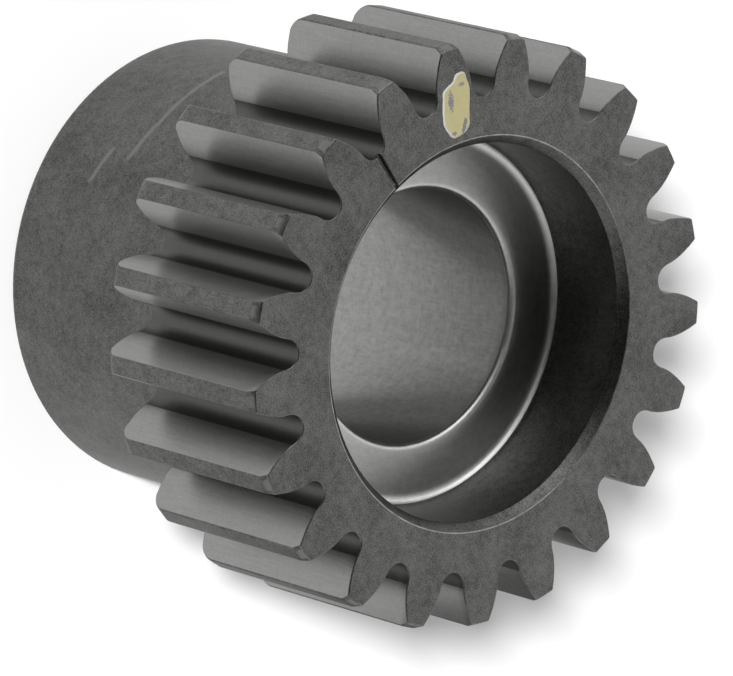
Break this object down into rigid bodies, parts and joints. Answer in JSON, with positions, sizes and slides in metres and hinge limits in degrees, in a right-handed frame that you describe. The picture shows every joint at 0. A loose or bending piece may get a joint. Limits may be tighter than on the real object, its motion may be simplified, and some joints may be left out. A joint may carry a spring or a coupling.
{
  "type": "pinion gear",
  "caption": "Spur pinion gear with a plain hub, a stepped and keyed bore, and a timing groove and a paint mark on its toothed face.",
  "frame": {"origin": "centre of the hub's end face, on the axis of the bore", "axes": "+Z along the axis from the hub's end to the toothed face; +X from the axis through the timing groove and the keyway"},
  "size_m": [0.0364, 0.0364, 0.0282],
  "materials": {
    "steel": "matt grey machined steel with smoother tooth flanks",
    "marking_paint": "dried pale yellow-green marking paint"
  },
  "bodies": {
    "root": {"pinion": "steel", "paint_mark": "marking_paint"}
  },
  "joints": []
}
